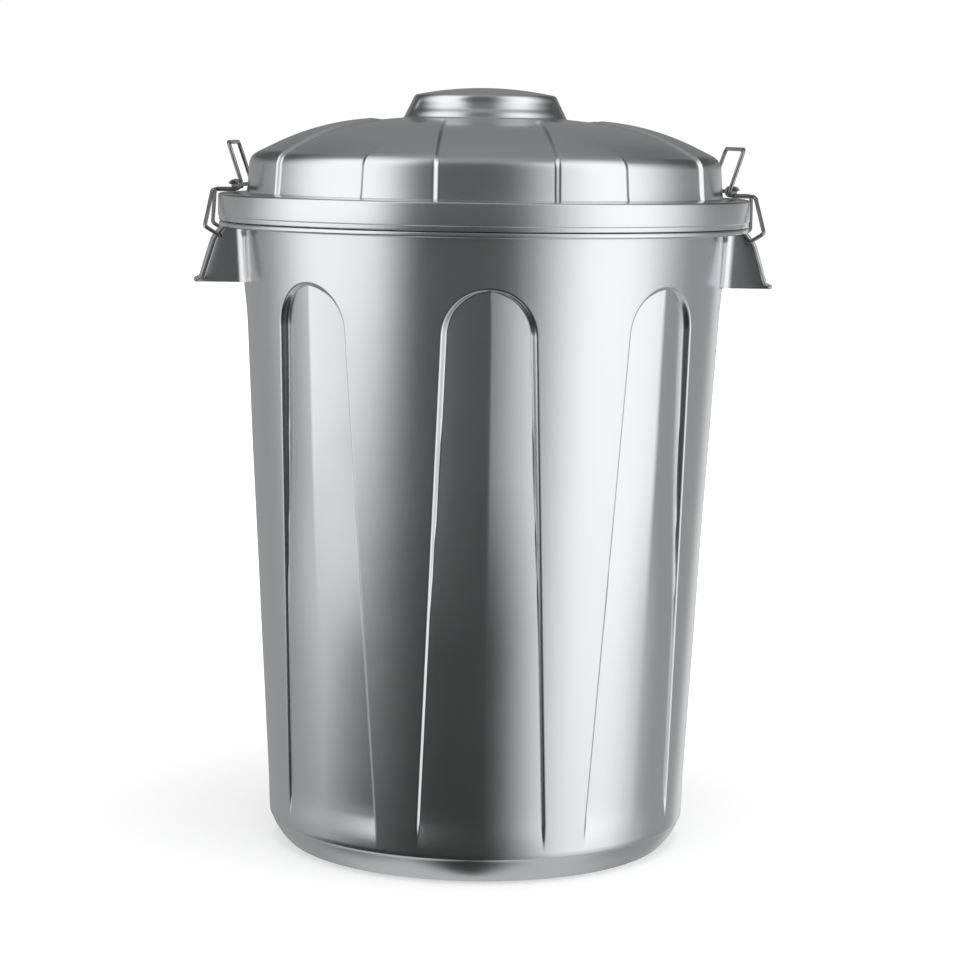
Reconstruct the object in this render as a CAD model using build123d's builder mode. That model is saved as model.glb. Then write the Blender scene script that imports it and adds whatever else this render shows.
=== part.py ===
from build123d import *
import math
import os

os.makedirs("parts", exist_ok=True)

# Lid edge and skirt, the widest ring, which the other radii are measured from
skirt_r = 271.0
skirt_wall = 3.0
skirt_clear = 1.5
skirt_round = 2.2
edge_thick = 3.0
edge_rise = 1.0
edge_width = 26.2
edge_ring_lap = 12.0
shade_step = 0.8
shade_tall = 4.5

# Bin shell, a tapered pail that widens upwards to the rim the lid rests on
wall = 3.0
rest_z = 661.5
shell_inset = 21.55
body_draft = 3.05

# Foot, a rolled-in edge below a fine seam
foot_inset = 15.2
foot_bulge = 1.6
foot_ring_width = 7.0
foot_seam_z = 25.5
foot_seam_step = 0.6
base_recess = 8.0
base_thick = 3.5

# Turned-over rim and the lip bead under the lid
lip_drop = 30.1
lip_tall = 5.5
lip_gap = 0.6
lip_inset = 1.0

# Lid dome, a steep wall, a rounded shoulder and a shallow crown
dome_wall_lean = 4.3
dome_wall_rise = 39.0
shoulder_round = 17.0
slope_width = 67.7
slope_rise = 32.2
slope_round = 250.0
crown_rise = 9.4

# Knob, hollow and moulded with the lid
knob_r = 81.6
knob_side_rise = 20.2
knob_side_in = 9.9
knob_top_rise = 7.5
knob_root = 20.0
knob_edge_round = 5.0
knob_base_round = 2.5
scoop_depth = 1.5
scoop_angle = 130.0
scoop_margin = 4.0

# Eight recessed panels round the bin
panel_count = 8
panel_half_top = 44.9
panel_arch_drop = 124.0
panel_side_spread = 0.0356
panel_low_z = 38.0
panel_edge_inset = 9.5
panel_edge_tilt = 3.6
panel_side_draft = 20.0
panel_floor_out = 7.8
panel_floor_draft = 0.033
panel_floor_bend = 180.0
panel_floor_span = 28.0
panel_ridge = 4.5
panel_reach_in = 30.0
panel_reach_out = 45.0

# Eight recessed sectors on the lid, which lies on the rim at a small turn from the panels
lid_turn = 1.3
sector_depth = 3.0
sector_half_in = 38.8
sector_half_out = 57.0
sector_root = 3.6
sector_overrun = 60.0

# Hood handles on both sides
hood_half = 50.0
hood_flange = 2.0
hood_low_drop = 85.5
hood_foot_out = 20.7
hood_lip_out = 4.1
hood_lip_tall = 2.6
hood_lip_slope = 2.0
hood_lip_step = 0.6
hood_shoulder_out = 7.0
hood_shoulder_drop = 40.5
hood_top_in = 2.4
hood_join = 0.6
hood_root_round = 8.0
cheek_inset = 1.0
cut_margin = 1.0

# Wire clips
wire_d = 4.0
pivot_in = 5.8
pivot_drop = 39.3
pivot_clear = 0.1
leg_gap = 0.75
knee_out = 10.0
knee_drop = 29.5
corner_out = 5.0
eyelet_in = 16.5
eyelet_lift = 0.5
eyelet_half = 17.0
eyelet_turn = 250.0
lever_half = 80.0
lever_straight = 24.0
lever_back = 13.0
lever_top_half = 76.0
lever_top_out = 1.5
lever_rise = 43.65
bend_r = 4.0
axle_bend_r = 3.2
lever_bend_r = 7.0

# Worked-out radii, from the skirt inwards and outwards
draft_rise = math.tan(math.radians(body_draft))
body_base_r = skirt_r - shell_inset - rest_z * draft_rise
foot_r = body_base_r - foot_inset
panel_edge_r = body_base_r - panel_edge_inset
panel_floor_r = body_base_r + panel_floor_out
rim_leg_r = skirt_r - skirt_wall - skirt_clear
lip_r = skirt_r - lip_inset
crease_r = skirt_r - edge_width
edge_ring_r = crease_r - edge_ring_lap
slope_end_r = crease_r - slope_width
knob_top_r = knob_r - knob_side_in
sector_in_r = knob_r - sector_root
hood_foot_r = skirt_r + hood_foot_out
hood_lip_r = hood_foot_r + hood_lip_out
hood_shoulder_r = skirt_r + hood_shoulder_out
hood_top_r = skirt_r - hood_top_in
wire_r = wire_d / 2
eyelet_r = wire_r + pivot_clear + wire_r
pivot_x = skirt_r - pivot_in
knee_x = skirt_r + knee_out
corner_x = skirt_r + corner_out
eyelet_x = skirt_r - eyelet_in
lever_top_x = eyelet_x + lever_top_out

# Worked-out heights, from the plane the lid rests on
floor_z = base_recess + base_thick
panel_arch_z = rest_z - panel_arch_drop
lip_low_z = rest_z - lip_drop
lip_top_z = lip_low_z + lip_tall
skirt_low_z = lip_top_z + lip_gap
channel_z = rest_z - wall
edge_z = rest_z + edge_thick
crease_z = edge_z + edge_rise
shoulder_z = crease_z + dome_wall_rise
slope_end_z = shoulder_z + slope_rise
knob_base_z = slope_end_z + crown_rise
knob_side_z = knob_base_z + knob_side_rise
knob_crown_z = knob_side_z + knob_top_rise
hood_low_z = rest_z - hood_low_drop
hood_lip_top_z = hood_low_z + hood_lip_tall
hood_shoulder_z = rest_z - hood_shoulder_drop
pivot_z = rest_z - pivot_drop
knee_z = rest_z - knee_drop
eyelet_z = crease_z + eyelet_lift + eyelet_r + wire_r
lever_top_z = eyelet_z + lever_rise
leg_y = hood_half + hood_flange + leg_gap + wire_r
far = skirt_r + rest_z


def body_r(z):
    return body_base_r + z * draft_rise


def moved_in(points, inset):
    """Corner points of a line of straight runs moved to its right by inset."""
    runs = []
    for (r0, z0), (r1, z1) in zip(points, points[1:]):
        long = math.hypot(r1 - r0, z1 - z0)
        side = ((z1 - z0) / long * inset, (r0 - r1) / long * inset)
        runs.append(((r0 + side[0], z0 + side[1]), (r1 + side[0], z1 + side[1])))
    corners = [runs[0][0]]
    for ((ar, az), (br, bz)), ((cr, cz), (dr, dz)) in zip(runs, runs[1:]):
        turn = (br - ar) * (dz - cz) - (bz - az) * (dr - cr)
        share = ((cr - ar) * (dz - cz) - (cz - az) * (dr - cr)) / turn
        corners.append((ar + share * (br - ar), az + share * (bz - az)))
    corners.append(runs[-1][1])
    return corners


# Panel recess, cut to an arched outline with its own curved and ridged floor
def panel_cut(grow):
    tilt = math.radians(panel_edge_tilt)
    edge_plane = Plane(
        origin=(panel_edge_r, 0, 0),
        x_dir=(0, 1, 0),
        z_dir=(math.cos(tilt), 0, -math.sin(tilt)),
    )
    spread = grow - panel_reach_in * math.tan(math.radians(panel_side_draft))
    arch_r = panel_half_top + spread
    low_half = panel_half_top + (panel_arch_z - panel_low_z) * panel_side_spread + spread
    low = panel_low_z - spread
    with BuildPart() as recess:
        with BuildSketch(edge_plane.offset(-panel_reach_in)):
            with BuildLine():
                Polyline((-arch_r, panel_arch_z), (-low_half, low), (low_half, low), (arch_r, panel_arch_z))
                ThreePointArc((arch_r, panel_arch_z), (0, panel_arch_z + arch_r), (-arch_r, panel_arch_z))
            make_face()
        extrude(amount=panel_reach_in + panel_reach_out, taper=-panel_side_draft)
        with BuildSketch(Plane.XY) as floor_shape:
            ridge_r = panel_floor_r - grow
            start = math.radians(panel_ridge)
            span = math.radians(panel_floor_span)
            bend_x = ridge_r - panel_floor_bend * math.cos(start)
            bend_y = panel_floor_bend * math.sin(start)

            def on_bend(angle, side):
                return (
                    bend_x + panel_floor_bend * math.cos(angle),
                    side * (panel_floor_bend * math.sin(angle) - bend_y),
                )

            with BuildLine():
                for side in (1, -1):
                    ThreePointArc(
                        on_bend(start, side),
                        on_bend(start + span / 2, side),
                        on_bend(start + span, side),
                    )
                Polyline(on_bend(start + span, 1), (0, 0), on_bend(start + span, -1))
            make_face()
        extrude(floor_shape.sketch, amount=far * 2, dir=(panel_floor_draft, 0, 1), mode=Mode.SUBTRACT)
    return recess.part


panel_turns = [360 / panel_count * step for step in range(panel_count)]
panel_cuts = [Rot(0, 0, turn) * panel_cut(0) for turn in panel_turns]
panel_backs = [Rot(0, 0, turn) * panel_cut(wall) for turn in panel_turns]

# Inside of the bin, which follows the panels at one wall
with BuildPart() as cavity:
    with BuildSketch(Plane.XZ):
        with BuildLine():
            seam_in_z = foot_seam_z + wall
            Polyline(
                (0, floor_z),
                (foot_r + wall, floor_z),
                (body_r(seam_in_z) - wall, seam_in_z),
                (body_r(rest_z) - wall, rest_z + wall),
                (0, rest_z + wall),
                close=True,
            )
        make_face()
    revolve(axis=Axis.Z)
    add(panel_backs, mode=Mode.SUBTRACT)

# Hood over each hand grip, open underneath, with two cheeks
hood_top_z = lip_low_z + hood_join
hood_outline = [(hood_foot_r, hood_low_z), (hood_shoulder_r, hood_shoulder_z), (hood_top_r, hood_top_z)]
hood_inside = moved_in(hood_outline[::-1], wall)[::-1]
hood_root_r = body_r(hood_low_z) - 4 * wall

with BuildPart() as hoods:
    with BuildSketch(Plane.XZ):
        with BuildLine():
            Polyline(
                (hood_root_r, hood_low_z),
                (hood_lip_r, hood_low_z),
                (hood_lip_r, hood_lip_top_z),
                (hood_foot_r - hood_lip_step, hood_lip_top_z + hood_lip_slope),
                *hood_outline[1:],
                (rim_leg_r - wall / 2, hood_top_z),
                (rim_leg_r - wall / 2, channel_z + wall / 2),
                (hood_root_r, channel_z + wall / 2),
                close=True,
            )
        make_face()
    revolve(axis=Axis.Z)
    flange_half = hood_half + hood_flange
    Box(2 * far, 2 * flange_half, 4 * far, mode=Mode.INTERSECT)
    with BuildSketch(Plane.XZ):
        with BuildLine():
            Polyline(
                (hood_root_r / 2, hood_low_z - wall),
                (hood_inside[0][0] + cut_margin, hood_low_z - wall),
                *hood_inside,
                (rim_leg_r - wall, lip_low_z - cut_margin),
                (rim_leg_r - wall, channel_z + wall),
                (hood_root_r / 2, channel_z + wall),
                close=True,
            )
        make_face()
    revolve(axis=Axis.Z, mode=Mode.SUBTRACT)

with BuildPart() as cheeks:
    with BuildSketch(Plane.XZ):
        with BuildLine():
            Polyline(
                (hood_root_r, hood_low_z),
                (hood_foot_r - cheek_inset, hood_low_z),
                (hood_shoulder_r - cheek_inset, hood_shoulder_z),
                (hood_top_r - cheek_inset, lip_low_z),
                (rim_leg_r - wall / 2, lip_low_z),
                (rim_leg_r - wall / 2, channel_z + wall / 2),
                (hood_root_r, channel_z + wall / 2),
                close=True,
            )
        make_face()
    revolve(axis=Axis.Z)
    Box(2 * far, 2 * hood_half, 4 * far, mode=Mode.INTERSECT)
    Box(4 * far, 2 * (hood_half - wall), 4 * far, mode=Mode.SUBTRACT)

# Bin body, one moulding: shell, foot, rim and hoods
with BuildPart() as bin_body:
    with BuildSketch(Plane.XZ):
        with BuildLine():
            foot_in = foot_r - foot_ring_width
            seam_r = body_r(foot_seam_z)
            foot_top = (seam_r - foot_seam_step, foot_seam_z)
            half_r = (foot_r + foot_top[0]) / 2
            Polyline((0, base_recess), (foot_in, base_recess), (foot_in, 0), (foot_r, 0))
            ThreePointArc(
                (foot_r, 0),
                (half_r + foot_bulge, foot_seam_z / 2 - foot_bulge),
                foot_top,
            )
            Polyline(
                foot_top,
                (seam_r, foot_seam_z),
                (body_r(channel_z), channel_z),
                (rim_leg_r - wall, channel_z),
                (rim_leg_r - wall, lip_low_z),
                (lip_r, lip_low_z),
                (lip_r, lip_top_z),
                (rim_leg_r, lip_top_z),
                (rim_leg_r, rest_z),
                (0, rest_z),
                (0, base_recess),
            )
        make_face()
    revolve(axis=Axis.Z)
    add(panel_cuts, mode=Mode.SUBTRACT)
    add(cheeks.part)
    root_edges = [
        edge
        for edge in bin_body.edges()
        if abs(abs(edge.center().Y) - hood_half) < 0.01
        and abs(math.hypot(edge.center().X, edge.center().Y) - body_r(edge.center().Z)) < 0.2
        and edge.length > hood_root_round
        and hood_low_z < edge.center().Z < channel_z
    ]
    fillet(root_edges, hood_root_round)
    add(hoods.part)
    add(cavity.part, mode=Mode.SUBTRACT)
    for side in (1, -1):
        with Locations(Location((side * pivot_x, 0, pivot_z), (90, 0, 0))):
            Cylinder(wire_r + pivot_clear, 2 * (hood_half + wall), mode=Mode.SUBTRACT)
bin_body.part.label = "bin_body"

# Lid dome outline from the crease to the knob, and the same line moved inwards
crown_r = crease_r - (shoulder_z - crease_z) * math.tan(math.radians(dome_wall_lean))
dome_outline = [
    (crease_r, crease_z),
    (crown_r, shoulder_z),
    (slope_end_r, slope_end_z),
    (knob_r, knob_base_z),
]


def dome_form(inset, low_z):
    """Solid under the dome's outline moved inwards, carried on to the axis."""
    points = moved_in(dome_outline[::-1], inset)[::-1]
    lean = math.tan(math.radians(dome_wall_lean))
    low_r = points[0][0] + (points[0][1] - low_z) * lean
    (ar, az), (br, bz) = points[-2:]
    axis_z = bz + br * (bz - az) / (ar - br)
    with BuildPart() as dome:
        with BuildSketch(Plane.XZ):
            with BuildLine():
                FilletPolyline(
                    (low_r, low_z),
                    points[1],
                    points[2],
                    (0, axis_z),
                    radius=[shoulder_round - inset, slope_round - inset],
                )
                Polyline((0, axis_z), (0, low_z), (low_r, low_z))
            make_face()
        revolve(axis=Axis.Z)
    return dome.part


# Upright prism over one lid sector
def sector_cut(grow):
    slope = (sector_half_out - sector_half_in) / (crease_r - knob_r)
    far_r = crease_r + sector_overrun
    in_half = sector_half_in + grow
    far_half = in_half + (far_r - knob_r) * slope
    with BuildPart() as prism:
        with BuildSketch(Plane.XY.offset(crease_z - 2 * grow)):
            Polygon(
                (knob_r / 2, -in_half),
                (far_r, -far_half),
                (far_r, far_half),
                (knob_r / 2, in_half),
                align=None,
            )
            Circle(sector_in_r - grow, mode=Mode.SUBTRACT)
        extrude(amount=far)
    return prism.part


def knob_form(inset, top_inset):
    """Solid of the knob's sides and crown, moved inwards."""
    lean = knob_side_in / knob_side_rise
    low_z = slope_end_z - knob_root
    top_z = knob_side_z - top_inset
    top_r = knob_top_r - inset + top_inset * lean
    crown_bend = (top_r**2 + knob_top_rise**2) / (2 * knob_top_rise)
    with BuildPart() as knob:
        with BuildSketch(Plane.XZ):
            with BuildLine():
                Polyline(
                    (0, knob_crown_z - top_inset),
                    (0, low_z),
                    (knob_r - inset + (knob_base_z - low_z) * lean, low_z),
                    (top_r, top_z),
                )
                RadiusArc((top_r, top_z), (0, knob_crown_z - top_inset), -crown_bend)
            make_face()
        revolve(axis=Axis.Z)
    return knob.part


# Shallow finger scoop on the front and the back of the knob
def scoop_cut(grow):
    lean = knob_side_in / knob_side_rise
    low_z = knob_base_z + scoop_margin - grow
    high_z = knob_side_z - scoop_margin + grow
    low_r = knob_r - (low_z - knob_base_z) * lean - scoop_depth - grow
    high_r = knob_r - (high_z - knob_base_z) * lean - scoop_depth - grow
    half = scoop_angle / 2 + math.degrees(grow / knob_r)
    with BuildPart() as scoop:
        with BuildSketch(Plane.XZ):
            Polygon(
                (low_r, low_z),
                (low_r + scoop_depth * 4, low_z - scoop_depth),
                (high_r + scoop_depth * 4, high_z + scoop_depth),
                (high_r, high_z),
                align=None,
            )
        revolve(axis=Axis.Z, revolution_arc=2 * half)
    return Rot(0, 0, -half) * scoop.part


sector_turns = [turn + lid_turn for turn in panel_turns]
scoop_turns = [lid_turn + 90, lid_turn - 90]
sector_cuts = [Rot(0, 0, turn) * sector_cut(0) for turn in sector_turns]
sector_backs = [Rot(0, 0, turn) * sector_cut(wall) for turn in sector_turns]
scoops = [Rot(0, 0, turn) * scoop_cut(0) for turn in scoop_turns]
scoop_backs = [Rot(0, 0, turn) * scoop_cut(wall) for turn in scoop_turns]

# Sector recesses as the prisms less the dome that stays under them
with BuildPart() as sector_dips:
    add(sector_cuts)
    add(dome_form(sector_depth, crease_z - wall), mode=Mode.SUBTRACT)

# Inside of the lid, which follows the sectors, and the inside of the knob
with BuildPart() as lid_inside:
    add(dome_form(wall, rest_z - wall))
    add(sector_backs, mode=Mode.SUBTRACT)
    add(dome_form(sector_depth + wall, rest_z - wall))
with BuildPart() as knob_inside:
    add(knob_form(wall, wall))
    add(scoop_backs, mode=Mode.SUBTRACT)

# Lid, one moulding: dome, edge, skirt and knob
with BuildPart() as lid:
    add(dome_form(0, crease_z - edge_rise))
    add(sector_dips.part, mode=Mode.SUBTRACT)
    add(knob_form(0, 0))
    crown_edges = [
        edge
        for edge in lid.edges().filter_by(GeomType.CIRCLE)
        if abs(edge.radius - knob_top_r) < 0.5 and abs(edge.center().Z - knob_side_z) < 0.5
    ]
    fillet(crown_edges, knob_edge_round)
    root_edges = [
        edge
        for edge in lid.edges().filter_by(GeomType.CIRCLE)
        if knob_r < edge.radius < knob_r + sector_depth and edge.center().Z < knob_base_z
    ]
    fillet(root_edges, knob_base_round)
    with BuildSketch(Plane.XZ):
        with BuildLine():
            outer_low = skirt_r - shade_step
            Polyline(
                (edge_ring_r, rest_z),
                (skirt_r - skirt_wall, rest_z),
                (skirt_r - skirt_wall, skirt_low_z),
                (outer_low, skirt_low_z),
                (outer_low, skirt_low_z + shade_tall),
                (skirt_r, skirt_low_z + shade_tall + shade_step),
                (skirt_r, edge_z - skirt_round),
            )
            RadiusArc((skirt_r, edge_z - skirt_round), (skirt_r - skirt_round, edge_z), -skirt_round)
            Polyline(
                (skirt_r - skirt_round, edge_z),
                (crease_r, crease_z),
                (edge_ring_r, crease_z),
                (edge_ring_r, rest_z),
            )
        make_face()
    revolve(axis=Axis.Z)
    add(scoops, mode=Mode.SUBTRACT)
    add(lid_inside.part, mode=Mode.SUBTRACT)
    add(knob_inside.part, mode=Mode.SUBTRACT)
lid.part.label = "lid"


def wire_sweep(path):
    """Round wire along a path."""
    with BuildPart() as wire:
        with BuildSketch(Plane(origin=path @ 0, z_dir=path % 0)):
            Circle(wire_r)
        sweep(path=path)
    return wire.part


# Wire bail: axle through both cheeks, legs, and an open eyelet at each end
def bail(side):
    run_z = eyelet_z - eyelet_r
    with BuildLine() as path:
        FilletPolyline(
            (side * eyelet_x, eyelet_half, run_z),
            (side * corner_x, eyelet_half, run_z),
            (side * knee_x, leg_y, knee_z),
            (side * pivot_x, leg_y, pivot_z),
            (side * pivot_x, -leg_y, pivot_z),
            (side * knee_x, -leg_y, knee_z),
            (side * corner_x, -eyelet_half, run_z),
            (side * eyelet_x, -eyelet_half, run_z),
            radius=[bend_r, bend_r, axle_bend_r, axle_bend_r, bend_r, bend_r],
        )
        for end in (eyelet_half, -eyelet_half):
            turn = math.radians(eyelet_turn)

            def on_eyelet(angle):
                return (
                    side * (eyelet_x - eyelet_r * math.sin(angle)),
                    end,
                    eyelet_z - eyelet_r * math.cos(angle),
                )

            ThreePointArc(on_eyelet(0), on_eyelet(turn / 2), on_eyelet(turn))
    return wire_sweep(path.wire())


# Finger lever: a closed wire loop whose foot bar turns in the eyelets
def lever(side):
    back_x = side * (eyelet_x - lever_back)
    with BuildLine() as path:
        FilletPolyline(
            (side * eyelet_x, -lever_straight, eyelet_z),
            (side * eyelet_x, lever_straight, eyelet_z),
            (back_x, lever_half, eyelet_z),
            (side * lever_top_x, lever_top_half, lever_top_z),
            (side * lever_top_x, -lever_top_half, lever_top_z),
            (back_x, -lever_half, eyelet_z),
            close=True,
            radius=[bend_r, bend_r, lever_bend_r, lever_bend_r, lever_bend_r, lever_bend_r],
        )
    return wire_sweep(path.wire())


with BuildPart() as right_bail:
    add(bail(1))
right_bail.part.label = "right_bail"

with BuildPart() as left_bail:
    add(bail(-1))
left_bail.part.label = "left_bail"

with BuildPart() as right_lever:
    add(lever(1))
right_lever.part.label = "right_lever"

with BuildPart() as left_lever:
    add(lever(-1))
left_lever.part.label = "left_lever"

for piece in (bin_body, lid, right_bail, left_bail, right_lever, left_lever):
    export_step(piece.part, f"parts/{piece.part.label}.step")
    box = piece.part.bounding_box()
    print(piece.part.label, round(piece.part.volume), len(piece.part.solids()), box.min, box.max)
print("hinges", pivot_x, pivot_z, eyelet_x, eyelet_z)
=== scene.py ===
import math

import bmesh
import bpy
import numpy as np
from mathutils import Matrix, Vector


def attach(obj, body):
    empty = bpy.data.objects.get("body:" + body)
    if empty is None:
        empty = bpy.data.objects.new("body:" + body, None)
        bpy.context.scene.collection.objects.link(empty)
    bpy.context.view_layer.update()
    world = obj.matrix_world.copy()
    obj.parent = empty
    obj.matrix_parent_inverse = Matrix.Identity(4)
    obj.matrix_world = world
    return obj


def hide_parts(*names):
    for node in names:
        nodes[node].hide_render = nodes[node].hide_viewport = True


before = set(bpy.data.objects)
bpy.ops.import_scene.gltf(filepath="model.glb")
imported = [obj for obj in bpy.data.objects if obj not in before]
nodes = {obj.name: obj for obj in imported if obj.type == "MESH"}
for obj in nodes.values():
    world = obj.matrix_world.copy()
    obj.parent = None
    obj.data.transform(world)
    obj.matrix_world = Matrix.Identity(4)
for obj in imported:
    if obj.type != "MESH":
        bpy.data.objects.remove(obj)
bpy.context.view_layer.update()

mm = 0.001
weldGap = 2e-6  # metres, between points made twice
seamGap = 2e-5  # metres, between turned copies
sharpAngle = 32  # degrees, edges above it stay sharp


# small helpers for node trees
def link(tree, a, b):
    tree.links.new(a, b)


def mathNode(tree, op, *values):
    n = tree.nodes.new("ShaderNodeMath")
    n.operation = op
    for i, v in enumerate(values):
        if isinstance(v, (int, float)):
            n.inputs[i].default_value = v
        else:
            link(tree, v, n.inputs[i])
    return n.outputs[0]


def stepNode(tree, value, low, high, outLow=0.0, outHigh=1.0):
    # smooth step from outLow to outHigh while value goes from low to high
    n = tree.nodes.new("ShaderNodeMapRange")
    n.interpolation_type = "SMOOTHSTEP"
    settings = {"Value": value, "From Min": low, "From Max": high, "To Min": outLow, "To Max": outHigh}
    for name, v in settings.items():
        if isinstance(v, (int, float)):
            n.inputs[name].default_value = v
        else:
            link(tree, v, n.inputs[name])
    return n.outputs["Result"]


# profiles, all in millimetres, as lists of (radius, height)
def roundedLine(points, radii, steps=5):
    # straight runs with a round of the given radius at each inner point
    out = [points[0]]
    for p, r, before, after in zip(points[1:-1], radii, points, points[2:]):
        p, a, b = Vector(p), Vector(before), Vector(after)
        da, db = (a - p).normalized(), (b - p).normalized()
        half = da.angle(db) / 2
        if r <= 0:
            out.append(tuple(p))
            continue
        reach = r / math.tan(half)
        centre = p + (da + db).normalized() * (r / math.sin(half))
        start, end = p + da * reach, p + db * reach
        for t in np.linspace(0, 1, steps):
            v = (start - centre) * (1 - t) + (end - centre) * t
            out.append(tuple(centre + v.normalized() * r))
    out.append(points[-1])
    return out


def meshFromGrid(name, grid):
    # grid[row][col] of points in metres, faces outwards for rows going up and columns going round +Z
    rows, cols = grid.shape[:2]
    verts = grid.reshape(-1, 3)
    r, c = np.meshgrid(np.arange(rows - 1), np.arange(cols - 1), indexing="ij")
    base = (r * cols + c).ravel()
    faces = np.stack([base, base + 1, base + cols + 1, base + cols], axis=1)
    mesh = bpy.data.meshes.new(name)
    mesh.from_pydata(verts.tolist(), [], faces.tolist())
    bm = bmesh.new()
    bm.from_mesh(mesh)
    bmesh.ops.remove_doubles(bm, verts=bm.verts, dist=weldGap)
    bm.to_mesh(mesh)
    bm.free()
    return mesh


def newObject(name, mesh):
    obj = bpy.data.objects.new(name, mesh)
    bpy.context.scene.collection.objects.link(obj)
    return obj


def smoothByAngle(mesh, degrees):
    # smooth faces with sharp edges above the angle
    bm = bmesh.new()
    bm.from_mesh(mesh)
    limit = math.radians(degrees)
    for f in bm.faces:
        f.smooth = True
    for e in bm.edges:
        e.smooth = len(e.link_faces) != 2 or e.calc_face_angle(0) < limit
    bm.to_mesh(mesh)
    bm.free()


# geometry nodes: copies round the axis, joined at their seams
def turnTree():
    tree = bpy.data.node_groups.new("turnCopies", "GeometryNodeTree")
    face = tree.interface
    face.new_socket("Geometry", in_out="INPUT", socket_type="NodeSocketGeometry")
    face.new_socket("Copies", in_out="INPUT", socket_type="NodeSocketInt")
    face.new_socket("Seam Distance", in_out="INPUT", socket_type="NodeSocketFloat")
    face.new_socket("Material", in_out="INPUT", socket_type="NodeSocketMaterial")
    face.new_socket("Geometry", in_out="OUTPUT", socket_type="NodeSocketGeometry")
    n = tree.nodes
    groupIn, groupOut = n.new("NodeGroupInput"), n.new("NodeGroupOutput")
    points = n.new("GeometryNodePoints")
    link(tree, groupIn.outputs["Copies"], points.inputs["Count"])
    index = n.new("GeometryNodeInputIndex")
    part = mathNode(tree, "DIVIDE", index.outputs[0], groupIn.outputs["Copies"])
    turn = mathNode(tree, "MULTIPLY", part, math.tau)
    spin = n.new("ShaderNodeCombineXYZ")
    link(tree, turn, spin.inputs["Z"])
    copies = n.new("GeometryNodeInstanceOnPoints")
    link(tree, points.outputs[0], copies.inputs["Points"])
    link(tree, groupIn.outputs["Geometry"], copies.inputs["Instance"])
    link(tree, spin.outputs[0], copies.inputs["Rotation"])
    real = n.new("GeometryNodeRealizeInstances")
    link(tree, copies.outputs[0], real.inputs[0])
    weld = n.new("GeometryNodeMergeByDistance")
    link(tree, real.outputs[0], weld.inputs["Geometry"])
    link(tree, groupIn.outputs["Seam Distance"], weld.inputs["Distance"])
    paint = n.new("GeometryNodeSetMaterial")
    link(tree, weld.outputs[0], paint.inputs["Geometry"])
    link(tree, groupIn.outputs["Material"], paint.inputs["Material"])
    link(tree, paint.outputs[0], groupOut.inputs[0])
    return tree


# geometry nodes: shallow finger scoops pressed into the knob's front and back
def scoopTree():
    tree = bpy.data.node_groups.new("pressScoops", "GeometryNodeTree")
    face = tree.interface
    face.new_socket("Geometry", in_out="INPUT", socket_type="NodeSocketGeometry")
    for name in ("Depth", "Half Angle", "Angle Edge", "Low", "High", "Height Edge", "Inner Radius",
                 "Outer Radius"):
        face.new_socket(name, in_out="INPUT", socket_type="NodeSocketFloat")
    face.new_socket("Geometry", in_out="OUTPUT", socket_type="NodeSocketGeometry")
    n = tree.nodes
    groupIn, groupOut = n.new("NodeGroupInput"), n.new("NodeGroupOutput")
    place = n.new("GeometryNodeInputPosition")
    xyz = n.new("ShaderNodeSeparateXYZ")
    link(tree, place.outputs[0], xyz.inputs[0])
    x, y, z = xyz.outputs
    angle = mathNode(tree, "ABSOLUTE", mathNode(tree, "ARCTAN2", x, mathNode(tree, "ABSOLUTE", y)))
    wide = mathNode(tree, "ADD", groupIn.outputs["Half Angle"], groupIn.outputs["Angle Edge"])
    around = stepNode(tree, angle, groupIn.outputs["Half Angle"], wide, 1.0, 0.0)
    lowEnd = mathNode(tree, "ADD", groupIn.outputs["Low"], groupIn.outputs["Height Edge"])
    highEnd = mathNode(tree, "ADD", groupIn.outputs["High"], groupIn.outputs["Height Edge"])
    rise = stepNode(tree, z, groupIn.outputs["Low"], lowEnd)
    fall = stepNode(tree, z, groupIn.outputs["High"], highEnd, 1.0, 0.0)
    squares = mathNode(tree, "ADD", mathNode(tree, "POWER", x, 2.0), mathNode(tree, "POWER", y, 2.0))
    radius = mathNode(tree, "SQRT", squares)
    inside = mathNode(tree, "GREATER_THAN", radius, groupIn.outputs["Inner Radius"])
    outside = mathNode(tree, "LESS_THAN", radius, groupIn.outputs["Outer Radius"])
    mask = mathNode(tree, "MULTIPLY", around, mathNode(tree, "MULTIPLY", rise, fall))
    mask = mathNode(tree, "MULTIPLY", mask, mathNode(tree, "MULTIPLY", inside, outside))
    depth = mathNode(tree, "MULTIPLY", mask, groupIn.outputs["Depth"])
    push = mathNode(tree, "DIVIDE", depth, mathNode(tree, "MAXIMUM", radius, 0.001))
    shift = n.new("ShaderNodeCombineXYZ")
    for value, side in ((x, "X"), (y, "Y")):
        link(tree, mathNode(tree, "MULTIPLY", mathNode(tree, "MULTIPLY", value, push), -1.0), shift.inputs[side])
    move = n.new("GeometryNodeSetPosition")
    link(tree, groupIn.outputs["Geometry"], move.inputs["Geometry"])
    link(tree, shift.outputs[0], move.inputs["Offset"])
    link(tree, move.outputs[0], groupOut.inputs[0])
    return tree


def runTree(obj, tree, values):
    # puts the tree on obj, sets its named inputs and returns the result as a plain mesh
    mod = obj.modifiers.new(tree.name, "NODES")
    mod.node_group = tree
    for item in tree.interface.items_tree:
        if item.item_type == "SOCKET" and item.in_out == "INPUT" and item.name in values:
            mod[item.identifier] = values[item.name]
    bpy.context.view_layer.update()
    graph = bpy.context.evaluated_depsgraph_get()
    mesh = bpy.data.meshes.new_from_object(obj.evaluated_get(graph), depsgraph=graph)
    obj.modifiers.remove(mod)
    obj.data = mesh
    return mesh


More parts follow.
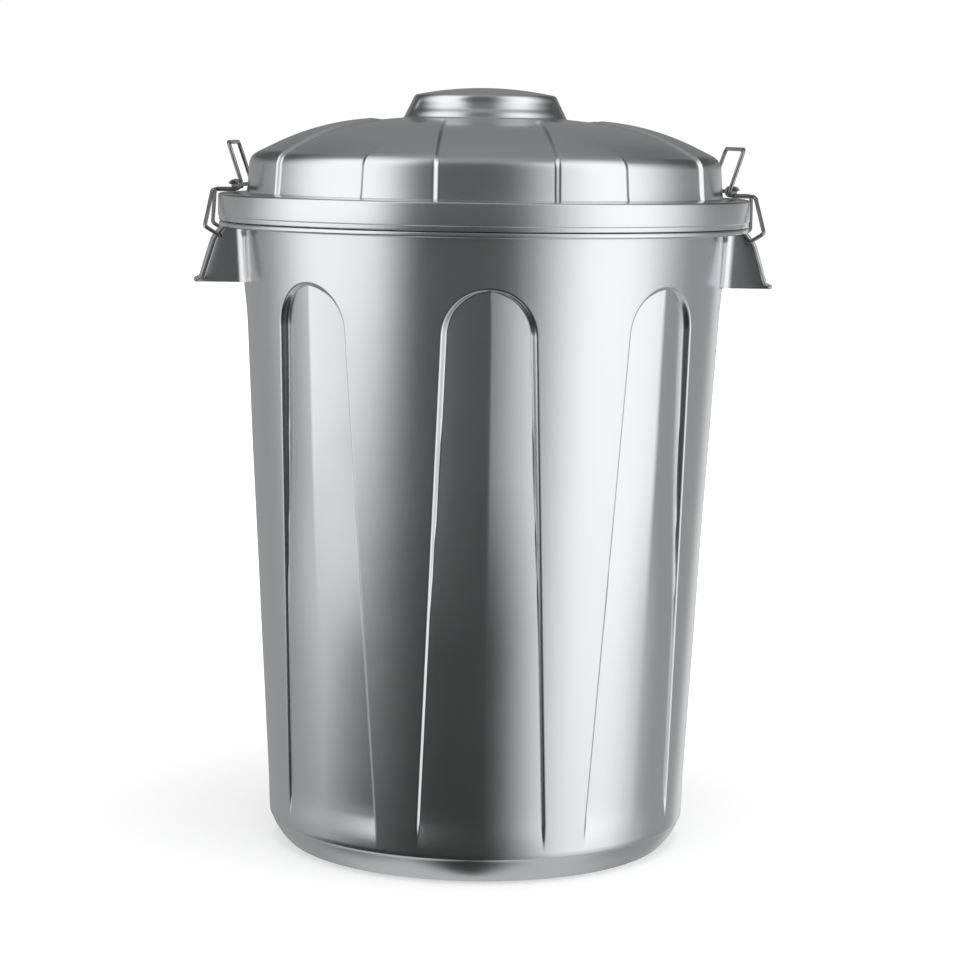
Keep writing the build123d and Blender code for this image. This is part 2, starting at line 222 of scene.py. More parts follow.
# the bin's shell, in millimetres
shell = {
    "baseRadius": 214.2, "draft": 3.05, "wall": 3.0, "restHeight": 661.5,
    "footRadius": 199.0, "footInner": 192.0, "footSeam": 25.5, "seamStep": 0.7, "baseRecess": 8.0, "baseThick": 3.5,
    "lipLow": 631.4, "lipTall": 5.5, "lipRadius": 270.0, "legRadius": 266.5,
    "panels": 8, "archHalf": 44.9, "archHeight": 537.5, "sideSpread": 0.0356, "panelLow": 38.0,
    "sideLean": 62.0, "crestRound": 2.6, "floorRound": 1.3, "crestBand": 5.5, "leastHalf": 24.0,
    "ridgeLow": 1.2, "ridgeHigh": 7.5, "bendLow": 200.0, "bendHigh": 280.0, "ridgeSpan": (220.0, 430.0),
    "middleLow": 0.4, "middleHigh": 1.6, "middleSpan": (380.0, 560.0),
}


def coneRadius(z):
    return shell["baseRadius"] + z * math.tan(math.radians(shell["draft"]))


def softMin(a, b, k):
    h = np.clip(0.5 + 0.5 * (b - a) / k, 0, 1)
    return b + (a - b) * h - k * h * (1 - h)


def eased(low, high, z, start, end):
    # goes smoothly from low to high while z goes from start to end
    t = np.clip((z - start) / (end - start), 0, 1)
    return low + (high - low) * t * t * (3 - 2 * t)


def panelDepth(turn, z, grow):
    # how far the pressed panel lies below the cone, at a turn from the panel's middle and a height
    s = shell
    outer = coneRadius(z) - grow
    across = outer * np.abs(np.sin(turn))
    side = s["archHalf"] + (s["archHeight"] - z) * s["sideSpread"] + grow - across
    arch = s["archHalf"] + grow - np.hypot(across, z - s["archHeight"])
    inside = np.where(z > s["archHeight"], arch, side)
    lean, crestRound = math.radians(s["sideLean"]), s["crestRound"]
    reach = crestRound * math.tan(lean / 2)
    bent = np.clip(inside + reach, 0, crestRound * math.sin(lean))
    crest = crestRound - np.sqrt(crestRound**2 - bent**2)
    crest = np.where(inside > reach * math.cos(lean), inside * math.tan(lean), crest)
    ridge = np.tan(np.radians(eased(s["ridgeLow"], s["ridgeHigh"], z, *s["ridgeSpan"])))
    bend = eased(s["bendLow"], s["bendHigh"], z, *s["ridgeSpan"])
    middle = eased(s["middleLow"], s["middleHigh"], z, *s["middleSpan"])
    floor = middle + across * ridge + across**2 * (0.5 / bend - 0.5 / outer)
    fade = eased(0.0, 1.0, z, s["panelLow"] - 6, s["panelLow"] + 30)
    return softMin(crest, np.maximum(floor, 0), s["floorRound"]) * (crest > 0) * fade


def shellColumns(z):
    # turns across half a sector, crowded at the panel's side
    over = z - shell["archHeight"]
    half = shell["archHalf"] - over * shell["sideSpread"]
    if over > 0:
        half = math.sqrt(max(shell["archHalf"] ** 2 - over**2, shell["leastHalf"] ** 2))
    radius = coneRadius(z)
    edge = math.asin(half / radius)
    band = shell["crestBand"] / radius
    end = math.pi / shell["panels"]
    return np.concatenate([
        np.linspace(0, edge - band, 14)[:-1],
        np.linspace(edge - band, edge + band * 0.7, 13)[:-1],
        np.linspace(edge + band * 0.7, end, 9),
    ])


def makeShellSector():
    s = shell
    seam, wall = s["footSeam"], s["wall"]
    seamR = coneRadius(seam)
    rows = []  # (radius, height, "plain" | "out" | "in")
    foot = roundedLine(
        [(0.0, s["baseRecess"]), (s["footInner"], s["baseRecess"]), (s["footInner"], 0.0),
         (s["footRadius"], 0.0)],
        [2.0, 1.5], 4)
    rows += [(r, z, "plain") for r, z in foot]
    top = (seamR - s["seamStep"], seam - 0.4)
    bulge = 1.6  # of the foot's roll, square to its slope
    for t in np.linspace(0, 1, 12)[1:]:
        r = s["footRadius"] + (top[0] - s["footRadius"]) * t
        z = top[1] * t
        out = bulge * 4 * t * (1 - t)
        rows.append((r + out * 0.84, z - out * 0.54, "plain"))
    rows.append((seamR - 0.15, seam + 0.1, "plain"))
    heights = np.concatenate([
        np.linspace(seam + 0.6, 62, 9)[:-1], np.linspace(62, 486, 32)[:-1],
        np.linspace(486, 536, 8)[:-1], np.linspace(536, 572, 24)[:-1], np.linspace(572, 586, 22)[:-1],
        np.linspace(586, s["restHeight"] - wall, 8),
    ])
    rows += [(None, z, "out") for z in heights]
    under = s["restHeight"] - wall
    rim = roundedLine(
        [(coneRadius(under) + 0.5, under), (s["legRadius"] - wall, under), (s["legRadius"] - wall, s["lipLow"]),
         (s["lipRadius"], s["lipLow"]), (s["lipRadius"], s["lipLow"] + s["lipTall"]),
         (s["legRadius"], s["lipLow"] + s["lipTall"]), (s["legRadius"], s["restHeight"]),
         (coneRadius(s["restHeight"]) - wall, s["restHeight"]), (coneRadius(600) - wall, 600)],
        [1.0, 1.0, 1.8, 1.8, 0.8, 1.0, 1.0], 4)
    rows += [(r, z, "plain") for r, z in rim]
    rows += [(None, z, "in") for z in np.linspace(596, 560, 9)]
    rows += [(None, z, "in") for z in np.linspace(545, 40, 16)]
    floorZ = s["baseRecess"] + s["baseThick"]
    inner = roundedLine(
        [(coneRadius(seam + 6) - wall, seam + 6), (s["footRadius"] + wall, floorZ), (0.0, floorZ)], [6.0], 5)
    rows += [(r, z, "plain") for r, z in inner]
    grid = []
    for r, z, kind in rows:
        half = shellColumns(z)
        turns = np.concatenate([-half[::-1], half[1:]])
        if kind == "out":
            radius = coneRadius(z) - panelDepth(turns, np.full_like(turns, z), 0.0)
        elif kind == "in":
            radius = coneRadius(z) - wall - panelDepth(turns, np.full_like(turns, z), wall)
        else:
            radius = np.full_like(turns, r)
        height = np.full_like(turns, z)
        grid.append(np.stack([radius * np.cos(turns), radius * np.sin(turns), height], axis=1))
    return meshFromGrid("shellSector", np.array(grid) * mm)


# the hood handles, in millimetres, made once towards +X
hood = {
    "half": 50.0, "flange": 2.0, "low": 576.0, "foot": 291.7, "lip": 295.8, "lipTall": 2.6,
    "shoulder": 278.0, "shoulderHeight": 621.0, "top": 268.6, "topHeight": 632.0,
    "rootRound": 13.0, "wall": 3.0, "shoulderRound": 2.4,
}


def hoodWall(z):
    # radius of the hood's outer wall at a height, the shoulder rounded
    h = hood
    lower = h["foot"] + (z - h["low"]) * (h["shoulder"] - h["foot"]) / (h["shoulderHeight"] - h["low"])
    rise = h["topHeight"] - h["shoulderHeight"]
    upper = h["shoulder"] + (z - h["shoulderHeight"]) * (h["top"] - h["shoulder"]) / rise
    return float(softMin(lower, upper, h["shoulderRound"]))


def hoodPlan(z, inset, wallR):
    # half outline in plan from the middle of the outer wall round to the bin's wall, as (x, y)
    h = hood
    half, flange = h["half"] - inset, h["flange"] if inset == 0 else 0.0
    bodyR = coneRadius(z)
    pts = []
    for y in np.linspace(0, half + flange - 1.2, 7):
        pts.append((math.sqrt(wallR**2 - y * y), y))
    cornerX = math.sqrt(wallR**2 - (half + flange) ** 2)
    # the cheek's edge, as steps (towards the axis, outwards); outside it carries the flange
    if inset == 0:
        steps = ((0.2, flange - 0.3), (1.0, flange), (2.4, flange), (3.2, flange - 0.6), (3.8, 0.5), (5.0, 0.05))
    else:
        steps = ((0.5, -0.3), (1.5, 0), (2.5, 0), (3.0, 0), (3.5, 0), (5.0, 0))
    pts += [(cornerX - back, half + out) for back, out in steps]
    r = h["rootRound"] if inset == 0 else 2.0
    centreY = half + r
    centreX = math.sqrt((bodyR + r) ** 2 - centreY**2)
    startA = math.atan2(-centreY, -centreX)  # towards the bin's axis
    pts.append((centreX + (cornerX - 5 - centreX) * 0.5, half))
    a0 = -math.pi / 2
    a1 = startA if startA < 0 else startA - 2 * math.pi
    for a in (a0 + (a1 - a0) * t for t in np.linspace(0, 1, 8)):
        pts.append((centreX + r * math.cos(a), centreY + r * math.sin(a)))
    # the last point sinks a little into the bin's wall
    x, y = pts[-1]
    around = math.atan2(y, x)
    pts.append((x - 1.2 * math.cos(around), y - 1.2 * math.sin(around)))
    return pts


def makeHood():
    h = hood
    low, lip = h["low"], h["lip"]
    lipTop = low + h["lipTall"]
    outside = [(z, hoodWall(z)) for z in np.linspace(h["topHeight"], lipTop + 3, 12)]
    outside += [(lipTop + 1.4, hoodWall(lipTop) + 0.5), (lipTop + 0.4, lip - 1.6), (lipTop - 0.4, lip - 0.3),
                (low + 1.0, lip), (low + 0.3, lip - 0.3), (low, lip - 1.0)]
    inside = [(low, hoodWall(low) - 2.6), (low + 0.6, hoodWall(low) - 3.2)]
    inside += [(z, hoodWall(z) - 3.2) for z in np.linspace(low + 4, h["topHeight"] - 1.5, 10)]
    outer = [(z, hoodPlan(z, 0, r)) for z, r in outside]
    inner = [(z, hoodPlan(z, h["wall"], r)) for z, r in inside]
    grid = []
    for z, pts in outer + inner:
        half = [(x, y, z) for x, y in pts]
        other = [(x, -y, z) for x, y in pts]
        grid.append(other[::-1] + half[1:])
    grid.append(grid[0])
    return meshFromGrid("hoodSide", np.array(grid)[::-1] * mm)


# the lid, in millimetres
lidSizes = {
    "skirtRadius": 271.0, "skirtWall": 3.0, "skirtLow": 637.5, "skirtRound": 2.4, "shadeStep": 0.8,
    "shadeTall": 4.5, "restHeight": 661.5, "edgeHeight": 664.5, "creaseRadius": 244.8, "creaseHeight": 665.5,
    "wallLean": 4.3, "shoulderHeight": 704.5, "shoulderRound": 17.0,
    "slopeRadius": 177.1, "slopeHeight": 736.7, "slopeRound": 250.0,
    "knobRadius": 81.6, "knobBase": 746.1, "knobTop": 71.7, "knobSide": 766.3, "knobCrown": 773.8,
    "knobEdge": 5.0, "knobRoot": 2.0, "wall": 3.0,
    "sectors": 8, "sectorDepth": 3.0, "sectorIn": 38.8, "sectorOut": 57.0, "sectorEdge": 5.5,
    "sectorEnd": 95.0, "seamRoom": 0.012, "turn": 1.3,
}
lidEnd = math.pi / lidSizes["sectors"]  # half a sector's turn


def sectorRaise(turn, radius, edgeTurn):
    # 1 on the raised wedges between the sectors, 0 on the sectors, with a soft edge
    s = lidSizes
    edge = s["sectorEdge"] / radius
    t = np.clip((np.abs(turn) - edgeTurn + edge * 0.35) / edge, 0, 1)
    wide = (lidEnd - edgeTurn) * radius
    fade = min(max(wide / 5.0, 0), 1)
    return t * t * (3 - 2 * t) * fade * fade * (3 - 2 * fade)


def lidColumns(radius, edgeTurn):
    # turns across half a sector, crowded at the sector's edge
    band = min(lidSizes["sectorEdge"] / radius, (lidEnd - edgeTurn) * 0.5 + 1e-5)
    return np.concatenate([
        np.linspace(0, edgeTurn - band, 9)[:-1],
        np.linspace(edgeTurn - band, edgeTurn + band, 15)[:-1],
        np.linspace(edgeTurn + band, lidEnd, 5),
    ])


def domeRows(inset, count):
    # dome outline from the crease to the knob, moved inwards, with each point's normal
    s = lidSizes
    lean = math.tan(math.radians(s["wallLean"]))
    crown = s["creaseRadius"] - (s["shoulderHeight"] - s["creaseHeight"]) * lean
    pts = [Vector((s["creaseRadius"], s["creaseHeight"])), Vector((crown, s["shoulderHeight"])),
           Vector((s["slopeRadius"], s["slopeHeight"])), Vector((s["knobRadius"], s["knobBase"]))]
    normals = []
    for a, b in zip(pts, pts[1:]):
        d = (b - a).normalized()
        normals.append(Vector((d.y, -d.x)))
    corners = [pts[0] - normals[0] * inset]
    for p, n0, n1 in zip(pts[1:], normals, normals[1:]):
        mid = (n0 + n1).normalized()
        corners.append(p - mid * (inset / mid.dot(n0)))
    corners.append(pts[-1] - normals[-1] * inset)
    radii = [s["shoulderRound"] - inset, s["slopeRound"] - inset]
    return roundedLine([tuple(c) for c in corners], radii, count)


def filled(points, gap):
    # adds points so that no run is longer than gap
    out = [points[0]]
    for a, b in zip(points, points[1:]):
        n = max(1, math.ceil(math.dist(a, b) / gap))
        for i in range(1, n + 1):
            out.append((a[0] + (b[0] - a[0]) * i / n, a[1] + (b[1] - a[1]) * i / n))
    return out


def makeLidSector():
    s = lidSizes
    skirtTop = s["skirtLow"] + s["shadeTall"]
    outLow = s["skirtRadius"] - s["shadeStep"]
    inR = s["skirtRadius"] - s["skirtWall"]
    skirt = roundedLine(
        [(inR, s["restHeight"] - 4), (inR, s["skirtLow"]), (outLow, s["skirtLow"]), (outLow, skirtTop),
         (s["skirtRadius"], skirtTop + s["shadeStep"]), (s["skirtRadius"], s["edgeHeight"]),
         (s["creaseRadius"] + 2.4, s["creaseHeight"] - 0.1)],
        [0.8, 0.8, 0.4, 0.4, s["skirtRound"]], 5)
    # each row is (radius, height, side, share of the sectors' depth)
    rows = [(r, z, "plain", 0) for r, z in skirt]
    crease = s["creaseRadius"], s["creaseHeight"]
    rows += [(crease[0] + 1.2, crease[1] - 0.02, "crease", 0.35), (crease[0] + 0.35, crease[1] + 0.5, "crease", 0.9)]
    dome = filled(domeRows(0, 14), 7.0)
    rows += [(r, z, "outer", 1) for r, z in dome[:-1] if z > crease[1] + 1.2]
    lean = (s["knobRadius"] - s["knobTop"]) / (s["knobSide"] - s["knobBase"])
    lowZ = s["knobBase"] - s["sectorDepth"]
    knobLow = (s["knobRadius"] + s["sectorDepth"] * lean, lowZ)
    apron = 6.0  # width of the lowered ring round the knob's root
    root = s["knobRadius"] + apron
    slope = (s["slopeHeight"] - s["knobBase"]) / (s["slopeRadius"] - s["knobRadius"])
    rootZ = s["knobBase"] + apron * slope - s["sectorDepth"]
    crown = s["knobCrown"] - s["knobSide"]
    bend = (s["knobTop"] ** 2 + crown**2) / (2 * crown)
    across = np.linspace(s["knobTop"] - 10, 0, 9)
    topArc = [(r, s["knobCrown"] - bend + math.sqrt(bend**2 - r * r)) for r in across]
    corners = [(root, rootZ), knobLow, (s["knobTop"], s["knobSide"]), topArc[0]]
    knob = roundedLine(corners, [s["knobRoot"], s["knobEdge"]], 7)
    knob = filled(knob, 1.6) + topArc[1:]
    rows = [row for row in rows if row[0] > root + 1 or row[1] < 700]
    rows += [(r, z, "plain", 0) for r, z in knob]
    inner = [(r, z - s["wall"]) for r, z in [(0.0, s["knobCrown"])] + topArc[::-1][1:]]
    inner += filled([(s["knobTop"] - 3.6, s["knobSide"] - 4.0), (knobLow[0] - 3.2, lowZ - 4.5)], 2.5)
    rows += [(r, z, "plain", 0) for r, z in inner]
    back = domeRows(s["wall"], 8)[::-1]
    back = [p for p in filled(back, 14.0) if p[0] > knobLow[0] + 2]
    back.append((s["creaseRadius"] - s["wall"], s["restHeight"]))
    rows += [(r, z, "inner", 1) for r, z in back]
    rows += [(inR, s["restHeight"], "plain", 0), (inR, s["restHeight"] - 4, "plain", 0)]
    grid = []
    sideSlope = (s["sectorOut"] - s["sectorIn"]) / (s["creaseRadius"] - s["knobRadius"])
    for i, (r, z, side, share) in enumerate(rows):
        edgeTurn = lidEnd - s["seamRoom"]
        if r >= s["sectorEnd"]:
            width = s["sectorIn"] + (r - s["knobRadius"]) * sideSlope
            edgeTurn = min(math.asin(width / r), edgeTurn)
        halfTurns = lidColumns(max(r, 60.0), edgeTurn)
        turns = np.concatenate([-halfTurns[::-1], halfTurns[1:]])
        radius, height = np.full_like(turns, r), np.full_like(turns, z)
        if side != "plain":
            before, after = rows[i - 1], rows[i + 1]
            d = Vector((after[0] - before[0], after[1] - before[1])).normalized()
            normal = {"outer": (d.y, -d.x), "inner": (-d.y, d.x), "crease": (1.0, 0.0)}[side]
            dip = (1 - sectorRaise(turns, r, edgeTurn)) * s["sectorDepth"] * share
            radius = radius - dip * normal[0]
            height = height - dip * normal[1]
        turns = turns + math.radians(s["turn"])
        grid.append(np.stack([radius * np.cos(turns), radius * np.sin(turns), height], axis=1))
    return meshFromGrid("lidSector", np.array(grid) * mm)


# materials
def grainGroup():
    # shared moulded-surface effect: fine grain normal, soft waves, roughness and tone changes
    g = bpy.data.node_groups.new("mouldedSurface", "ShaderNodeTree")
    face = g.interface
    for name in ("Grain Scale", "Grain Height", "Cloud Scale", "Roughness", "Roughness Change", "Tone Change"):
        face.new_socket(name, in_out="INPUT", socket_type="NodeSocketFloat")
    face.new_socket("Base Tone", in_out="INPUT", socket_type="NodeSocketColor")
    face.new_socket("Color", in_out="OUTPUT", socket_type="NodeSocketColor")
    face.new_socket("Roughness", in_out="OUTPUT", socket_type="NodeSocketFloat")
    face.new_socket("Normal", in_out="OUTPUT", socket_type="NodeSocketVector")
    n = g.nodes
    groupIn, groupOut = n.new("NodeGroupInput"), n.new("NodeGroupOutput")
    coords = n.new("ShaderNodeTexCoord")
    clouds = n.new("ShaderNodeTexNoise")
    clouds.inputs["Detail"].default_value = 4.0
    link(g, coords.outputs["Object"], clouds.inputs["Vector"])
    link(g, groupIn.outputs["Cloud Scale"], clouds.inputs["Scale"])
    flakes = n.new("ShaderNodeTexNoise")
    flakes.inputs["Detail"].default_value = 2.0
    link(g, coords.outputs["Object"], flakes.inputs["Vector"])
    link(g, groupIn.outputs["Grain Scale"], flakes.inputs["Scale"])
    cloudOff = mathNode(g, "SUBTRACT", clouds.outputs["Fac"], 0.5)
    flakeOff = mathNode(g, "SUBTRACT", flakes.outputs["Fac"], 0.5)
    mixOff = mathNode(g, "ADD", cloudOff, mathNode(g, "MULTIPLY", flakeOff, 0.6))
    toneSpan = mathNode(g, "MULTIPLY", groupIn.outputs["Tone Change"], 2.0)
    tone = mathNode(g, "ADD", mathNode(g, "MULTIPLY", mixOff, toneSpan), 1.0)
    colour = n.new("ShaderNodeVectorMath")
    colour.operation = "SCALE"
    link(g, groupIn.outputs["Base Tone"], colour.inputs[0])
    link(g, tone, colour.inputs["Scale"])
    link(g, colour.outputs[0], groupOut.inputs["Color"])
    roughSpan = mathNode(g, "MULTIPLY", groupIn.outputs["Roughness Change"], 2.0)
    rough = mathNode(g, "ADD", groupIn.outputs["Roughness"], mathNode(g, "MULTIPLY", cloudOff, roughSpan))
    link(g, rough, groupOut.inputs["Roughness"])
    bump = n.new("ShaderNodeBump")
    bump.inputs["Strength"].default_value = 1.0
    bump.inputs["Distance"].default_value = 0.001
    wave = n.new("ShaderNodeTexNoise")
    wave.inputs["Scale"].default_value = 28.0
    wave.inputs["Detail"].default_value = 1.0
    link(g, coords.outputs["Object"], wave.inputs["Vector"])
    waveHeight = mathNode(g, "MULTIPLY", wave.outputs["Fac"], 0.04)
    grainHeight = mathNode(g, "MULTIPLY", flakes.outputs["Fac"], groupIn.outputs["Grain Height"])
    height = mathNode(g, "ADD", grainHeight, waveHeight)
    link(g, height, bump.inputs["Height"])
    link(g, bump.outputs["Normal"], groupOut.inputs["Normal"])
    return g


silver = {
    "tone": (0.695, 0.71, 0.72), "toneChange": 0.02, "metallic": 0.97, "roughness": 0.23,
    "roughnessChange": 0.04, "grainScale": 650.0, "grainHeight": 0.003, "cloudScale": 5.0,
    "coat": 0.12, "coatRoughness": 0.22,
}
wire = {
    "tone": (0.36, 0.36, 0.35), "metallic": 1.0, "roughness": 0.27, "roughnessChange": 0.12, "toneChange": 0.12,
    "grainScale": 900.0, "grainHeight": 0.05, "cloudScale": 60.0, "coat": 0.0, "coatRoughness": 0.1,
}


def surfaceMaterial(name, values, group):
    mat = bpy.data.materials.new(name)
    mat.use_nodes = True
    t = mat.node_tree
    bsdf = t.nodes["Principled BSDF"]
    g = t.nodes.new("ShaderNodeGroup")
    g.node_tree = group
    g.inputs["Base Tone"].default_value = (*values["tone"], 1.0)
    for name, key in (("Roughness", "roughness"), ("Roughness Change", "roughnessChange"),
                      ("Tone Change", "toneChange"), ("Grain Scale", "grainScale"),
                      ("Grain Height", "grainHeight"), ("Cloud Scale", "cloudScale")):
        g.inputs[name].default_value = values[key]
    link(t, g.outputs["Color"], bsdf.inputs["Base Color"])
    link(t, g.outputs["Roughness"], bsdf.inputs["Roughness"])
    link(t, g.outputs["Normal"], bsdf.inputs["Normal"])
    bsdf.inputs["Metallic"].default_value = values["metallic"]
    bsdf.inputs["Coat Weight"].default_value = values["coat"]
    bsdf.inputs["Coat Roughness"].default_value = values["coatRoughness"]
    return mat


group = grainGroup()
silverPlastic = surfaceMaterial("silverPlastic", silver, group)
platedWire = surfaceMaterial("platedWire", wire, group)
print("materials made")

turnCopies = turnTree()
pressScoops = scoopTree()

# bin body: eight turned copies of one sector, and the two hoods
binBody = newObject("binBody", makeShellSector())
runTree(binBody, turnCopies, {"Copies": shell["panels"], "Seam Distance": seamGap, "Material": silverPlastic})
hoods = newObject("hoods", makeHood())
runTree(hoods, turnCopies, {"Copies": 2, "Seam Distance": seamGap, "Material": silverPlastic})
for piece in (binBody, hoods):
    smoothByAngle(piece.data, sharpAngle)
    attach(piece, "bin")
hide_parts("bin_body")
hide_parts("bin_body")
print("bin body", len(binBody.data.polygons), "hoods", len(hoods.data.polygons))

# lid: eight turned copies of one sector, then the finger scoops of the knob
scoops = {
    "Depth": 0.0011, "Half Angle": math.radians(63), "Angle Edge": math.radians(4), "Low": 0.7480, "High": 0.7585,
    "Height Edge": 0.0045, "Inner Radius": 0.050, "Outer Radius": 0.0825,
}
lid = newObject("lidDome", makeLidSector())
runTree(lid, turnCopies, {"Copies": lidSizes["sectors"], "Seam Distance": seamGap, "Material": silverPlastic})
runTree(lid, pressScoops, scoops)
smoothByAngle(lid.data, sharpAngle)
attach(lid, "lid")
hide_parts("lid")
print("lid", len(lid.data.polygons))

# wires keep their solids
for name in ("right_bail", "left_bail", "right_lever", "left_lever"):
    obj = nodes[name]
    obj.data.materials.clear()
    obj.data.materials.append(platedWire)

# floor, pale and plain, its glow for the camera rising with distance (near, far, near level, far level)
ground = {"half": 12, "tone": 0.86, "roughness": 0.7, "specular": 0.2, "glow": (0.3, 1.6, 0.40, 0.9)}
far = ground["half"]
floorMesh = bpy.data.meshes.new("floor")
floorMesh.from_pydata([(-far, -far, 0), (far, -far, 0), (far, far, 0), (-far, far, 0)], [], [(0, 1, 2, 3)])
floor = newObject("floor", floorMesh)
floorMat = bpy.data.materials.new("paleFloor")
floorMat.use_nodes = True
t = floorMat.node_tree
bsdf = t.nodes["Principled BSDF"]
bsdf.inputs["Base Color"].default_value = (*[ground["tone"]] * 3, 1)
bsdf.inputs["Roughness"].default_value = ground["roughness"]
bsdf.inputs["Specular IOR Level"].default_value = ground["specular"]
glow = t.nodes.new("ShaderNodeEmission")
path = t.nodes.new("ShaderNodeLightPath")
blend = t.nodes.new("ShaderNodeAddShader")
place = t.nodes.new("ShaderNodeTexCoord")
reach = t.nodes.new("ShaderNodeVectorMath")
reach.operation = "LENGTH"
link(t, place.outputs["Object"], reach.inputs[0])
glowLevel = stepNode(t, reach.outputs["Value"], *ground["glow"])
link(t, mathNode(t, "MULTIPLY", path.outputs["Is Camera Ray"], glowLevel), glow.inputs["Strength"])
link(t, bsdf.outputs[0], blend.inputs[0])
link(t, glow.outputs[0], blend.inputs[1])
link(t, blend.outputs[0], t.nodes["Material Output"].inputs["Surface"])
floorMesh.materials.append(floorMat)
floor.visible_glossy = False

# studio seen in reflections, by turn from the front and climb in degrees:
# a dark front, a tall light on each side, grey behind and above
studio = {
    "diffuse": 0.55, "top": 0.33, "topClimb": (38.0, 78.0),
    "front": {"low": 0.015, "high": 0.11, "climb": (-21.0, -6.0)},
    "rear": {"low": 0.36, "high": 0.24, "climb": (-6.0, 14.0), "turn": (78.0, 125.0)},
    "left": {"low": 0.5, "high": 1.36, "climb": (-17.5, -8.5), "inner": (-29.0, -54.0),
             "outer": (-84.0, -128.0), "lean": 4.4},
    "right": {"low": 0.7, "high": 1.4, "climb": (-40.0, -8.0), "inner": (7.0, 54.0),
              "outer": (68.0, 118.0), "lean": 0.0},
    "back": {"level": 0.85, "turn": (138.0, 152.0, 158.0, 174.0), "climb": (-34.0, -14.0, -6.0, 6.0)},
    "dim": {"level": 0.07, "turn": (112.0, 128.0, 152.0, 170.0), "climb": (6.0, 18.0, 34.0, 48.0)},
    "ground": {"level": 0.6, "climb": (-38.0, -64.0), "turn": (25.0, 60.0)},
}


def mixLevel(tree, mask, low, high):
    n = tree.nodes.new("ShaderNodeMix")
    n.data_type = "FLOAT"
    for i, v in ((0, mask), (2, low), (3, high)):
        if isinstance(v, (int, float)):
            n.inputs[i].default_value = v
        else:
            link(tree, v, n.inputs[i])
    return n.outputs[0]


def cardLevel(tree, climb, card):
    return stepNode(tree, climb, *card["climb"], card["low"], card["high"])


def cardMask(tree, turnAngle, climb, card):
    # the inner edge leans outwards below the horizon
    below = mathNode(tree, "MAXIMUM", mathNode(tree, "SUBTRACT", -9.0, climb), 0.0)
    leant = mathNode(tree, "ADD", turnAngle, mathNode(tree, "MULTIPLY", below, card["lean"]))
    inner = stepNode(tree, leant, *card["inner"])
    outer = stepNode(tree, turnAngle, card["outer"][1], card["outer"][0])
    return mathNode(tree, "MULTIPLY", inner, outer)


world = bpy.data.worlds.new("studio")
bpy.context.scene.world = world
world.use_nodes = True
w = world.node_tree
background = w.nodes["Background"]
coords = w.nodes.new("ShaderNodeTexCoord")
xyz = w.nodes.new("ShaderNodeSeparateXYZ")
link(w, coords.outputs["Generated"], xyz.inputs[0])
facing = mathNode(w, "ARCTAN2", xyz.outputs["X"], mathNode(w, "MULTIPLY", xyz.outputs["Y"], -1.0))
turnAngle = mathNode(w, "MULTIPLY", facing, 180 / math.pi)
climb = mathNode(w, "MULTIPLY", mathNode(w, "ARCSINE", xyz.outputs["Z"]), 180 / math.pi)
behind = stepNode(w, mathNode(w, "ABSOLUTE", turnAngle), *studio["rear"]["turn"])
level = mixLevel(w, behind, cardLevel(w, climb, studio["front"]), cardLevel(w, climb, studio["rear"]))
for name, across in (("back", turnAngle), ("dim", mathNode(w, "ABSOLUTE", turnAngle))):
    card = studio[name]
    spans = ((across, card["turn"]), (climb, card["climb"]))
    edges = []
    for value, ends in spans:
        rising, falling = stepNode(w, value, *ends[:2]), stepNode(w, value, *ends[2:], 1.0, 0.0)
        edges.append(mathNode(w, "MULTIPLY", rising, falling))
    level = mixLevel(w, mathNode(w, "MULTIPLY", *edges), level, card["level"])
for side in ("left", "right"):
    level = mixLevel(w, cardMask(w, turnAngle, climb, studio[side]), level, cardLevel(w, climb, studio[side]))
level = mixLevel(w, stepNode(w, climb, *studio["topClimb"]), level, studio["top"])
sideways = stepNode(w, mathNode(w, "ABSOLUTE", turnAngle), *studio["ground"]["turn"])
groundMask = mathNode(w, "MULTIPLY", sideways, stepNode(w, climb, *studio["ground"]["climb"]))
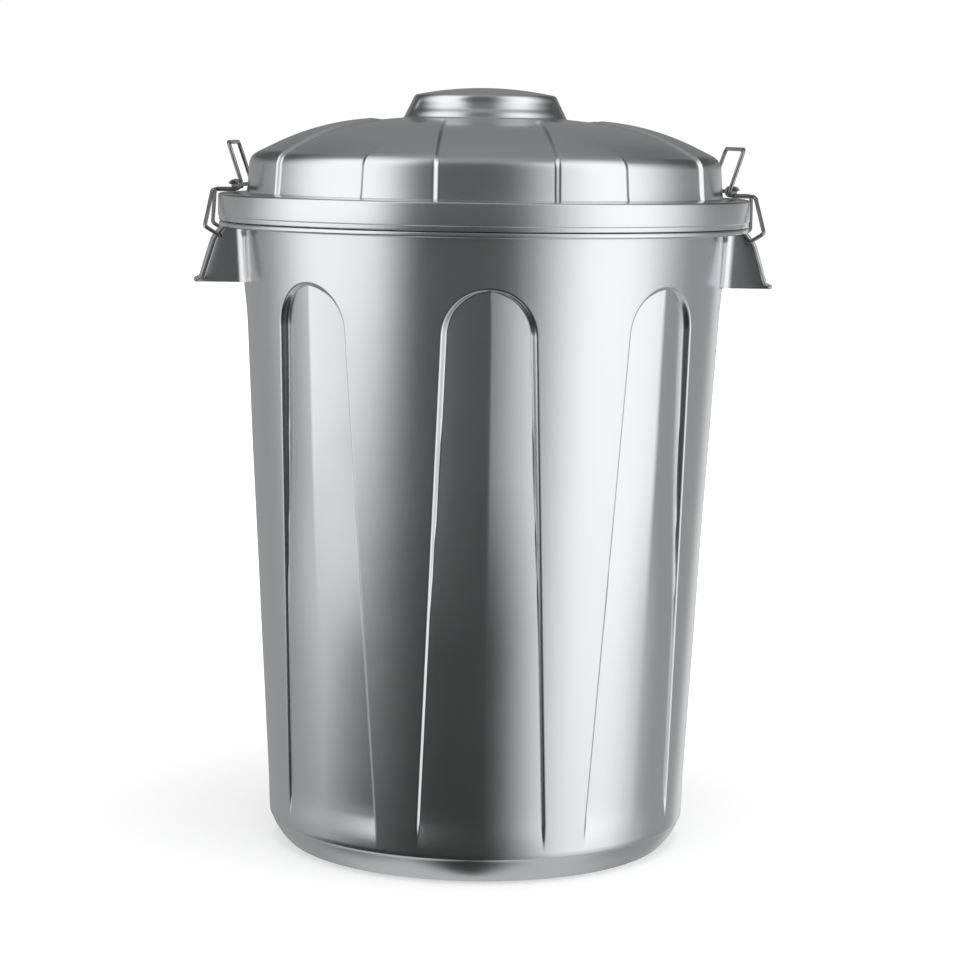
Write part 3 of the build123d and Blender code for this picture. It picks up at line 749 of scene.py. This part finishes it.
level = mixLevel(w, groundMask, level, studio["ground"]["level"])
seen = w.nodes.new("ShaderNodeLightPath")
level = mixLevel(w, seen.outputs["Is Diffuse Ray"], level, studio["diffuse"])
level = mixLevel(w, seen.outputs["Is Camera Ray"], level, 1.0)
background.inputs["Color"].default_value = (1, 1, 1, 1)
link(w, level, background.inputs["Strength"])


def areaLight(name, place, target, size, power):
    data = bpy.data.lights.new(name, "AREA")
    data.shape = "RECTANGLE"
    data.size, data.size_y = size
    data.energy = power
    obj = bpy.data.objects.new(name, data)
    bpy.context.scene.collection.objects.link(obj)
    obj.location = place
    obj.rotation_euler = (Vector(target) - Vector(place)).to_track_quat("-Z", "Y").to_euler()
    obj.visible_glossy = False
    return obj


areaLight("topSoft", (0.3, -0.6, 3.4), (0, 0, 0.3), (2.6, 2.2), 45)

# camera, fitted to the photograph's frame
shot = {"distance": 2.754, "height": 0.7276, "turn": 1.55, "down": 7.368, "roll": 0.842, "focal": 2677.55}
photoWide, sensorWide = 960, 36  # pixels and millimetres
cameraData = bpy.data.cameras.new("shot")
cameraData.sensor_width = sensorWide
cameraData.sensor_fit = "HORIZONTAL"
cameraData.lens = shot["focal"] / photoWide * sensorWide
cameraData.clip_start, cameraData.clip_end = 0.05, 100
camera = bpy.data.objects.new("shot", cameraData)
bpy.context.scene.collection.objects.link(camera)
turn, down, roll = (math.radians(shot[k]) for k in ("turn", "down", "roll"))
right = Vector((math.cos(turn), -math.sin(turn), 0))
ahead = Vector((math.sin(turn) * math.cos(down), math.cos(turn) * math.cos(down), -math.sin(down)))
up = right.cross(ahead)
camX = right * math.cos(roll) + up * math.sin(roll)
camY = up * math.cos(roll) - right * math.sin(roll)
spot = Vector((-shot["distance"] * math.sin(turn), -shot["distance"] * math.cos(turn), shot["height"]))
camera.matrix_world = Matrix.Translation(spot) @ Matrix((camX, camY, -ahead)).transposed().to_4x4()
bpy.context.scene.camera = camera

bpy.context.scene.view_settings.view_transform = "Standard"
print("scene made")
